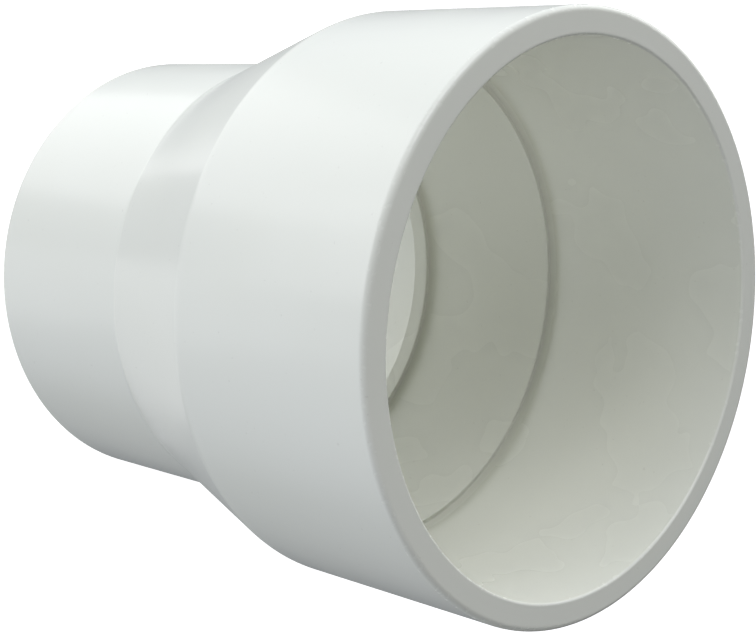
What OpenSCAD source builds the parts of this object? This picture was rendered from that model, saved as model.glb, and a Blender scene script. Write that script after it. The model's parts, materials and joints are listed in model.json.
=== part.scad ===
// Concentric reducer: a one-piece solvent-weld coupling that joins a 110 mm pipe to a 90 mm pipe.
// It stands on its small end, with its axis on Z and its origin at the centre of the small end face.

/* [Large hub] */
// Bore of the large socket, a slip fit on the 110 mm pipe
large_bore_d = 110.2; // [109:0.1:114]
// Wall thickness round the large socket
large_wall = 5.8; // [5:0.1:8]
// Straight outside length of the large hub
large_hub_length = 51.1; // [48:0.1:60]
// Depth of the large socket, from its mouth to the edge that stops the pipe
large_socket_depth = 52.4; // [48:0.1:60]

/* [Cone] */
// Outside length of the cone between the hubs
cone_length = 34.8; // [30:0.1:45]
// Radius of the moulded blends where the cone meets the hubs
cone_blend_r = 4; // [2:0.1:8]

/* [Small hub] */
// Bore of the small socket, a slip fit on the 90 mm pipe
small_bore_d = 90.2; // [88:0.1:92]
// Wall thickness round the small socket
small_wall = 4.9; // [4.5:0.1:7]
// Straight outside length of the small hub
small_hub_length = 43.2; // [40:0.1:50]
// Depth of the small socket, from its mouth to its pipe stop
small_socket_depth = 41.4; // [38:0.1:46]
// Width of the ledge that stops the pipe in the small socket
small_stop_width = 2.2; // [1.2:0.1:3]

/* [Throat between the sockets] */
// Length of the throat, between the groove below the cone and the small pipe's stop
land_length = 4; // [3:0.1:8]
// How much wider in radius the throat is at its top, where it tapers like the cone above it
land_taper = 1; // [0.2:0.1:2]

/* [Grooves] */
// Width of the groove between the large socket's wall and the wide end of the inside cone
socket_groove_width = 2; // [1.5:0.1:2.4]
// Depth of that groove below the edge that stops the pipe
socket_groove_depth = 1.2; // [1:0.1:2.5]
// Width of the groove between the narrow end of the inside cone and the throat
throat_groove_width = 2; // [1.5:0.1:2.4]
// Depth of that groove below the throat's upper edge
throat_groove_depth = 1.2; // [1:0.1:2]

/* [Edges] */
// Radius of the outer edge of each mouth
mouth_edge_r = 1.2; // [0.5:0.1:2]
// Radius of the inner edge of each mouth, which leads the pipe in
lead_in_r = 0.6; // [0.3:0.1:1.2]
// Radius that breaks the other moulded corners
corner_r = 0.3; // [0.2:0.05:0.3]

/* [Hidden] */
large_bore_r = large_bore_d / 2;
large_outer_r = large_bore_r + large_wall;
small_bore_r = small_bore_d / 2;
small_outer_r = small_bore_r + small_wall;
land_r = small_bore_r - small_stop_width;
land_top_r = land_r + land_taper;
total_length = small_hub_length + cone_length + large_hub_length;
cone_top_z = small_hub_length + cone_length;
land_top_z = small_socket_depth + land_length;
large_stop_z = total_length - large_socket_depth;
// How far a groove's drafted outer wall leans in, and how far above the groove's inner edge it starts
groove_draft = 0.4;
// Share of a groove's width that is flat at its bottom
groove_flat = 0.4;
// Turn of one segment of a rounded corner
arc_step = 10;
// Facets of the drawn surface of revolution
turn_facets = 180;

// Unit vector along v
function unit(v) = v / norm(v);

// Vector v turned by an angle
function turned(v, angle) = [
    v[0] * cos(angle) - v[1] * sin(angle),
    v[0] * sin(angle) + v[1] * cos(angle)
];

// The points of corner b, between a and c, rounded to radius r
function corner(a, b, c, r) =
    let (
        to_a = unit(a - b),
        to_c = unit(c - b),
        half = acos(to_a * to_c) / 2,
        centre = b + unit(to_a + to_c) * r / sin(half),
        from = b + to_a * r / tan(half) - centre,
        sweep = (180 - 2 * half) * sign(cross(b - a, c - b)),
        steps = ceil((180 - 2 * half) / arc_step)
    )
    [for (i = [0 : steps]) centre + turned(from, sweep * i / steps)];

// A closed outline through [radius, height, corner radius] rows
function rounded(rows) =
    let (n = len(rows), at = [for (row = rows) [row[0], row[1]]])
    [for (i = [0 : n - 1]) each corner(at[(i + n - 1) % n], at[i], at[(i + 1) % n], rows[i][2])];

// Rows of a groove at the foot of a wall of radius wall_r, whose inner edge is at height z
function groove(wall_r, z, width, depth) = [
    [wall_r, z + groove_draft, corner_r],
    [wall_r - groove_draft, z - depth, corner_r],
    [wall_r - groove_draft - groove_flat * width, z - depth, corner_r],
    [wall_r - width, z, corner_r]
];

// Half section of the moulding, anticlockwise from the inner edge of the small mouth
section = [
    [small_bore_r, 0, lead_in_r],
    [small_outer_r, 0, mouth_edge_r],
    [small_outer_r, small_hub_length, cone_blend_r],
    [large_outer_r, cone_top_z, cone_blend_r],
    [large_outer_r, total_length, mouth_edge_r],
    [large_bore_r, total_length, lead_in_r],
    each groove(large_bore_r, large_stop_z, socket_groove_width, socket_groove_depth),
    each groove(land_top_r + throat_groove_width, land_top_z, throat_groove_width, throat_groove_depth),
    [land_r, small_socket_depth, corner_r],
    [small_bore_r, small_socket_depth, corner_r]
];

// The whole fitting, one injection moulding in white PVC
module reducer_body() {
    color([0.93, 0.93, 0.9])
        rotate_extrude($fn = turn_facets)
            polygon(rounded(section));
}

reducer_body();
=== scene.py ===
import json
import math

import bmesh
import bpy
from mathutils import Matrix, Vector


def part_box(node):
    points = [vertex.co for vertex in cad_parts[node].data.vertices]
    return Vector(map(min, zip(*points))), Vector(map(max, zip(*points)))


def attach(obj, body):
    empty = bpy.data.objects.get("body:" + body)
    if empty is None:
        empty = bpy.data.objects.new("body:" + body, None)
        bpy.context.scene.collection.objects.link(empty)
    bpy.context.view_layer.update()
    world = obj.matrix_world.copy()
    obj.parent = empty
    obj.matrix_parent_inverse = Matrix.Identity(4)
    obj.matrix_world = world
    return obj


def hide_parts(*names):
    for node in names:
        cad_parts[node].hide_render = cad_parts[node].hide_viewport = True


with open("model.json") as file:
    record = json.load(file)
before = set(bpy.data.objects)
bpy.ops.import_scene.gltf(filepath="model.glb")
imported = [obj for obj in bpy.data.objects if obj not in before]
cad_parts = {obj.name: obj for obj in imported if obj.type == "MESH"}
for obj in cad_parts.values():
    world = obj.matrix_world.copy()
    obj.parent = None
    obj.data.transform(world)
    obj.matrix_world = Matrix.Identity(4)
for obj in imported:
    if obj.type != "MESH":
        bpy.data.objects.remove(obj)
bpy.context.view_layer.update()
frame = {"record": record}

# A white PVC reducing coupling that stands on its small end. Its axis is Z and +Z is its large mouth.
# The photograph's camera is rolled, so that the part looks as if it lies on its side, with +Y up.

NODE = "reducer_body"
MM = 0.001

# Sizes that the frame gives
LOW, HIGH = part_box(NODE)
LENGTH = HIGH.z - LOW.z
LARGE_R = max(HIGH.x, HIGH.y)
MOUNTS = {m["name"]: m for m in frame["record"]["mounts"]}
LARGE_BORE_R = MOUNTS["large_socket"]["dims"]["r_mm"] * MM
SMALL_BORE_R = MOUNTS["small_socket"]["dims"]["r_mm"] * MM

# Sizes of the moulding between them, as in the CAD source
SMALL_R = SMALL_BORE_R + 4.9 * MM
SMALL_HUB_Z = 43.2 * MM
CONE_TOP_Z = SMALL_HUB_Z + 34.8 * MM
LARGE_STOP_Z = LENGTH - 52.4 * MM
SMALL_STOP_Z = 41.4 * MM
LAND_TOP_Z = SMALL_STOP_Z + 4.0 * MM
LAND_R = SMALL_BORE_R - 2.2 * MM
LAND_TOP_R = LAND_R + 1.0 * MM
GROOVE_WIDTH = 2.0 * MM
GROOVE_DRAFT = 0.4 * MM
GROOVE_FLAT = 0.8 * MM
MOUTH_EDGE_R = 1.2 * MM
LEAD_IN_R = 0.6 * MM
CONE_BLEND_R = 4.0 * MM
CORNER_R = 0.3 * MM

# Each groove runs round the foot of a wall of this radius, with its inner edge at this height and this deep
SOCKET_GROOVE = (LARGE_BORE_R, LARGE_STOP_Z, 1.2 * MM)
THROAT_GROOVE = (LAND_TOP_R + GROOVE_WIDTH, LAND_TOP_Z, 1.2 * MM)

# Fineness of the turned mesh
TURN_STEPS = 288
ARC_STEP = math.radians(10)
RING_GAP = 3.0 * MM
GUARD_GAP = 0.25 * MM

# What the mesh tells the material about each point, from 0 to 1
RECESS = "recess"
EDGE = "edge"
BORE = "bore"
RECESS_FADE = 0.5 * MM

# Less than the thickness of any wall: deeper than this below the outside is an inside wall
MIN_WALL = 3.0 * MM

FLOOR_HALF = 6.0
CAMERA_LENS = 76.7
CAMERA_AT = Vector((-0.2519, 0, 0.3191))
CAMERA_FORWARD = Vector((0.7147, -0.0141, -0.6993))
CAMERA_UP = Vector((-0.0858, 0.9905, -0.1077))

# Neutral white softboxes: direction from the middle of the part, size across and along, brightness
SOFTBOX_DISTANCE = 1.0
STEEP = 0.72
SOFTBOXES = {
    "key": ((-0.3, 0.8, 0.5), (0.7, 0.4), 3.0),
    "window": ((-0.8, 0.2, -0.5), (0.5, 0.5), 1.2),
    "right_fill": ((0.75, 0.6, 0.2), (0.8, 0.8), 1.6),
    "front_fill": ((0.0, -0.5, 0.9), (0.9, 0.5), 0.8),
    "rear": ((-0.3, 0.5, -0.8), (0.9, 0.5), 1.0),
    "bench": ((-0.2, -0.2, -1.0), (1.5, 0.4), 0.5),
}
# A slightly cool surround, as brightness overhead (+Y) in a broad and a narrow part, behind (-Z) in a
# plain and a left-hand part, and low down on the left (-Y and -X)
SURROUND_COLOUR = (0.95, 1.0, 1.1, 1)
SURROUND_UP = 0.2
SURROUND_OVERHEAD = 1.5
SURROUND_BEHIND = 0.2
SURROUND_REAR_LEFT = 1.0
SURROUND_LOW = 2.0


def corner_arc(a, b, c, radius):
    """Points of corner b, between a and c, rounded to radius."""
    to_a, to_c = (a - b).normalized(), (c - b).normalized()
    half = to_a.angle(to_c) / 2
    centre = b + (to_a + to_c).normalized() * radius / math.sin(half)
    start = b + to_a * radius / math.tan(half) - centre
    turn = math.pi - 2 * half
    side = 1 if to_c.cross(to_a) > 0 else -1
    steps = max(2, math.ceil(turn / ARC_STEP))
    return [centre + Matrix.Rotation(side * turn * i / steps, 2) @ start for i in range(steps + 1)]


def straight(a, b):
    """Points between a and b: one close to each end, to keep the shading flat, and even ones between them."""
    run = (b - a).length
    if run < 3 * GUARD_GAP:
        return []
    along = (b - a) / run
    inner = run - 2 * GUARD_GAP
    gaps = max(1, round(inner / RING_GAP))
    return [a + along * (GUARD_GAP + inner * i / gaps) for i in range(gaps + 1)]


def groove(wall_r, z, depth):
    """Rows of a groove at the foot of a wall of radius wall_r, whose inner edge is at height z."""
    return [
        (wall_r, z + GROOVE_DRAFT, CORNER_R),
        (wall_r - GROOVE_DRAFT, z - depth, CORNER_R),
        (wall_r - GROOVE_DRAFT - GROOVE_FLAT, z - depth, CORNER_R),
        (wall_r - GROOVE_WIDTH, z, CORNER_R),
    ]


def section():
    """Closed half section of the moulding, as points of radius and height with rings along its straights."""
    rows = [
        (SMALL_BORE_R, 0, LEAD_IN_R),
        (SMALL_R, 0, MOUTH_EDGE_R),
        (SMALL_R, SMALL_HUB_Z, CONE_BLEND_R),
        (LARGE_R, CONE_TOP_Z, CONE_BLEND_R),
        (LARGE_R, LENGTH, MOUTH_EDGE_R),
        (LARGE_BORE_R, LENGTH, LEAD_IN_R),
        *groove(*SOCKET_GROOVE),
        *groove(*THROAT_GROOVE),
        (LAND_R, SMALL_STOP_Z, CORNER_R),
        (SMALL_BORE_R, SMALL_STOP_Z, CORNER_R),
    ]
    at = [Vector((r, z)) for r, z, _ in rows]
    arcs = [corner_arc(at[i - 1], at[i], at[(i + 1) % len(at)], rows[i][2]) for i in range(len(at))]
    points = []
    for arc, following in zip(arcs, arcs[1:] + arcs[:1]):
        points += arc
        points += straight(arc[-1], following[0])
    return points


def recess(point):
    """How far a point of the section lies down one of the grooves: 0 at the groove's mouth, 1 inside it."""
    for wall_r, z, depth in (SOCKET_GROOVE, THROAT_GROOVE):
        beside = wall_r - GROOVE_WIDTH + CORNER_R < point.x <= wall_r
        if beside and z - depth - CORNER_R < point.y < z + GROOVE_DRAFT:
            return min(1, (z + GROOVE_DRAFT - point.y) / RECESS_FADE)
    return 0


def edge(point):
    """1 on the rounded edges of the two mouths, 0 elsewhere."""
    to_mouth = min(point.y, LENGTH - point.y)
    wall_r = SMALL_R if point.y < LENGTH / 2 else LARGE_R
    bore_r = SMALL_BORE_R if point.y < LENGTH / 2 else LARGE_BORE_R
    outer = point.x > wall_r - MOUTH_EDGE_R and to_mouth < MOUTH_EDGE_R
    inner = point.x < bore_r + LEAD_IN_R and to_mouth < LEAD_IN_R
    return int(outer or inner)


def bore(point):
    """1 on the inside walls between the two lead-ins, 0 elsewhere."""
    up_cone = min(1, max(0, (point.y - SMALL_HUB_Z) / (CONE_TOP_Z - SMALL_HUB_Z)))
    outside_r = SMALL_R + (LARGE_R - SMALL_R) * up_cone
    return int(LEAD_IN_R < point.y < LENGTH - LEAD_IN_R and point.x < outside_r - MIN_WALL)


def turned_body():
    """The whole moulding, as one closed surface of revolution."""
    rings = section()
    mesh = bpy.data.meshes.new("reducer")
    bm = bmesh.new()
    layers = {name: bm.verts.layers.float.new(name) for name in (RECESS, EDGE, BORE)}
    facts = [{RECESS: recess(p), EDGE: edge(p), BORE: bore(p)} for p in rings]
    grid = []
    for turn in range(TURN_STEPS):
        angle = 2 * math.pi * turn / TURN_STEPS
        c, s = math.cos(angle), math.sin(angle)
        grid.append([bm.verts.new((p.x * c, p.x * s, p.y)) for p in rings])
        for vert, fact in zip(grid[-1], facts):
            for name, layer in layers.items():
                vert[layer] = fact[name]
    for turn in range(TURN_STEPS):
        here, beside = grid[turn], grid[(turn + 1) % TURN_STEPS]
        for i in range(len(rings)):
            j = (i + 1) % len(rings)
            bm.faces.new((here[i], beside[i], beside[j], here[j]))
    bmesh.ops.recalc_face_normals(bm, faces=bm.faces)
    for face in bm.faces:
        face.smooth = True
    bm.to_mesh(mesh)
    bm.free()
    body = bpy.data.objects.new("reducer_moulding", mesh)
    bpy.context.scene.collection.objects.link(body)
    return body


class Shading:
    """Adds nodes to a node tree, each with its inputs given by name or number as values or sockets."""

    def __init__(self, tree):
        self.tree = tree

    def node(self, kind, inputs=None, **settings):
        node = self.tree.nodes.new(kind)
        for name, value in settings.items():
            setattr(node, name, value)
        for name, value in (inputs or {}).items():
            if isinstance(value, bpy.types.NodeSocket):
                self.tree.links.new(value, node.inputs[name])
            else:
                node.inputs[name].default_value = value
        return node

    def attribute(self, name):
        return self.node("ShaderNodeAttribute", attribute_name=name).outputs["Fac"]

    def math(self, operation, a, b=0.0, c=0.0):
        return self.node("ShaderNodeMath", {0: a, 1: b, 2: c}, operation=operation).outputs[0]

    def noise(self, place, scale, detail=2.0, stretch=(1, 1, 1)):
        """Noise from 0 to 1 with features of 1 / scale metres, stretched by dividing each axis."""
        squeezed = self.node("ShaderNodeVectorMath", {0: place, 1: stretch}, operation="DIVIDE").outputs[0]
        settings = {"Vector": squeezed, "Scale": scale, "Detail": detail}
        return self.node("ShaderNodeTexNoise", settings).outputs["Fac"]

    def between(self, value, low, high, to_low=0.0, to_high=1.0):
        """Value mapped from low..high to to_low..to_high, and held at the ends."""
        limits = {0: value, 1: low, 2: high, 3: to_low, 4: to_high}
        return self.node("ShaderNodeMapRange", limits, interpolation_type="SMOOTHSTEP").outputs[0]

    def mix(self, share, a, b):
        inputs = {"Factor": share, "A": a, "B": b}
        node = self.tree.nodes.new("ShaderNodeMix")
        node.data_type = "RGBA"
        named = {s.name: s for s in node.inputs if s.type == "RGBA"}
        for name, value in inputs.items():
            socket = node.inputs[0] if name == "Factor" else named[name]
            if isinstance(value, bpy.types.NodeSocket):
                self.tree.links.new(value, socket)
            else:
                socket.default_value = value
        return next(s for s in node.outputs if s.type == "RGBA")

    def bump(self, height, depth, normal=None):
        """A bump of the given depth in metres, on top of an earlier normal."""
        inputs = {"Height": height, "Distance": depth, "Strength": 1.0}
        if normal:
            inputs["Normal"] = normal
        return self.node("ShaderNodeBump", inputs).outputs[0]


PVC = (0.87, 0.875, 0.79, 1)
PVC_CLOUD = (0.865, 0.87, 0.78, 1)
# Painted shade for the groove floors, not a colour of the plastic
GROOVE_SHADE_PAINT = (0.83, 0.83, 0.745, 1)
SPECK = (0.80, 0.80, 0.715, 1)


def white_pvc():
    """Glossy moulded white PVC: faintly wavy, finely pored, scuffed at its edges, with painted shade in its
    grooves.
    """
    material = bpy.data.materials.new("white_pvc")
    material.use_nodes = True
    s = Shading(material.node_tree)
    place = s.node("ShaderNodeTexCoord").outputs["Object"]
    recess_share, edge_share, bore_share = s.attribute(RECESS), s.attribute(EDGE), s.attribute(BORE)

    nicks = s.math("MULTIPLY", s.between(s.noise(place, 700, 3), 0.55, 0.7), edge_share)

    # Colour: faint clouding and specks in the plastic, and painted shade darkening the grooves
    clouding = s.between(s.noise(place, 40, 2), 0.2, 0.8)
    colour = s.mix(clouding, PVC, PVC_CLOUD)
    specks = s.between(s.noise(place, 1400, 0), 0.82, 0.88)
    colour = s.mix(specks, colour, SPECK)
    # Painted shade: the groove floors are darkened and mottled where shade gathers in their corners
    groove_shade_paint = s.math("MULTIPLY", recess_share, s.between(s.noise(place, 200, 1), 0.2, 0.8, 0.6, 1.0))
    colour = s.mix(groove_shade_paint, colour, GROOVE_SHADE_PAINT)

    # Gloss: the bores are a little duller than the outside, and the groove floors and nicks are dull
    rough = s.between(clouding, 0.0, 1.0, 0.19, 0.23)
    for share, more in ((bore_share, 0.06), (nicks, 0.25), (recess_share, 0.4)):
        rough = s.math("MULTIPLY_ADD", share, more, rough)

    # Relief: slow sink waves, moulded pores, polishing rings that show most in the bores, and nicks
    normal = s.bump(s.noise(place, 70, 0), 0.05 * MM)
    pores = s.math("MULTIPLY", s.noise(place, 950, 1), 0.004 * MM)
    ring_depth = s.between(bore_share, 0.0, 1.0, 0.0004 * MM, 0.0016 * MM)
    relief = s.math("MULTIPLY_ADD", s.noise(place, 2400, 1, (60, 60, 1)), ring_depth, pores)
    relief = s.math("MULTIPLY_ADD", nicks, -0.03 * MM, relief)
    normal = s.bump(relief, 1.0, normal)

    shader = material.node_tree.nodes["Principled BSDF"]
    shader.inputs["IOR"].default_value = 1.53
    for name, socket in (("Base Color", colour), ("Roughness", rough), ("Normal", normal)):
        material.node_tree.links.new(socket, shader.inputs[name])
    return material


def floor_material():
    """Plain white floor that glows a little, so that it stays near white in the shade."""
    material = bpy.data.materials.new("floor_white")
    material.use_nodes = True
    shader = material.node_tree.nodes["Principled BSDF"]
    shader.inputs["Base Color"].default_value = (0.8, 0.8, 0.8, 1)
    shader.inputs["Roughness"].default_value = 1.0
    shader.inputs["Specular IOR Level"].default_value = 0.0
    shader.inputs["Emission Color"].default_value = (1, 1, 1, 1)
    shader.inputs["Emission Strength"].default_value = 0.9
    return material


def make_floor():
    """The floor under the small end. Only the camera sees it, so only the studio lights the part."""
    mesh = bpy.data.meshes.new("floor")
    turns = ((-1, -1), (1, -1), (1, 1), (-1, 1))
    corners = [(FLOOR_HALF * x, FLOOR_HALF * y) for x, y in turns]
    mesh.from_pydata([(x, y, 0) for x, y in corners], [], [(0, 1, 2, 3)])
    floor = bpy.data.objects.new("floor", mesh)
    bpy.context.scene.collection.objects.link(floor)
    floor.location.z = LOW.z
    mesh.materials.append(floor_material())
    floor.visible_diffuse = False
    floor.visible_glossy = False
    floor.visible_shadow = False


def axes(back, up):
    """Rotation whose Z axis is back and whose Y axis leans towards up."""
    back = back.normalized()
    right = up.cross(back).normalized()
    return Matrix((right, back.cross(right), back)).transposed().to_4x4()


def make_camera():
    """The photograph's camera: it looks into the large mouth from the -X side, with +Y up."""
    data = bpy.data.cameras.new("camera")
    camera = bpy.data.objects.new("camera", data)
    bpy.context.scene.collection.objects.link(camera)
    data.sensor_width = 36.0
    data.lens = CAMERA_LENS
    data.clip_start, data.clip_end = 0.01, 20
    camera.matrix_world = Matrix.Translation(CAMERA_AT) @ axes(-CAMERA_FORWARD, CAMERA_UP)
    bpy.context.scene.camera = camera


def make_surround():
    """A soft surround, brightest overhead (+Y), dimmer behind (-Z), and low down only on the left (-X)."""
    world = bpy.data.worlds.new("studio")
    bpy.context.scene.world = world
    world.use_nodes = True
    s = Shading(world.node_tree)
    towards = s.node("ShaderNodeTexCoord").outputs["Generated"]
    parts = s.node("ShaderNodeSeparateXYZ", {0: towards}).outputs
    up = s.math("MAXIMUM", parts["Y"], 0.0)
    below = s.math("MINIMUM", parts["Y"], 0.0)
    left = s.math("MINIMUM", parts["X"], 0.0)
    behind = s.math("MINIMUM", parts["Z"], 0.0)
    total = s.math("MULTIPLY", up, SURROUND_UP)
    total = s.math("MULTIPLY_ADD", s.math("POWER", up, 3.0), SURROUND_OVERHEAD, total)
    total = s.math("MULTIPLY_ADD", behind, -SURROUND_BEHIND, total)
    total = s.math("MULTIPLY_ADD", s.math("MULTIPLY", behind, left), SURROUND_REAR_LEFT, total)
    total = s.math("MULTIPLY_ADD", s.math("MULTIPLY", below, left), SURROUND_LOW, total)
    background = world.node_tree.nodes["Background"]
    background.inputs["Color"].default_value = SURROUND_COLOUR
    world.node_tree.links.new(total, background.inputs["Strength"])


def make_softboxes():
    """Rectangular softboxes round the part, none of them seen by the camera."""
    middle = (LOW + HIGH) / 2
    for name, (direction, size, brightness) in SOFTBOXES.items():
        data = bpy.data.lights.new(name, "AREA")
        data.shape = "RECTANGLE"
        data.size, data.size_y = size
        data.energy = math.pi * size[0] * size[1] * brightness
        light = bpy.data.objects.new(name, data)
        bpy.context.scene.collection.objects.link(light)
        back = Vector(direction).normalized()
        up = Vector((0, 0, 1)) if abs(back.y) > STEEP else Vector((0, 1, 0))
        light.matrix_world = Matrix.Translation(middle + back * SOFTBOX_DISTANCE) @ axes(back, up)
        light.visible_camera = False


make_camera()
body = turned_body()
body.data.materials.append(white_pvc())
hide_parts(NODE)
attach(body, "root")
make_floor()
make_surround()
make_softboxes()
bpy.context.scene.view_settings.view_transform = "Standard"
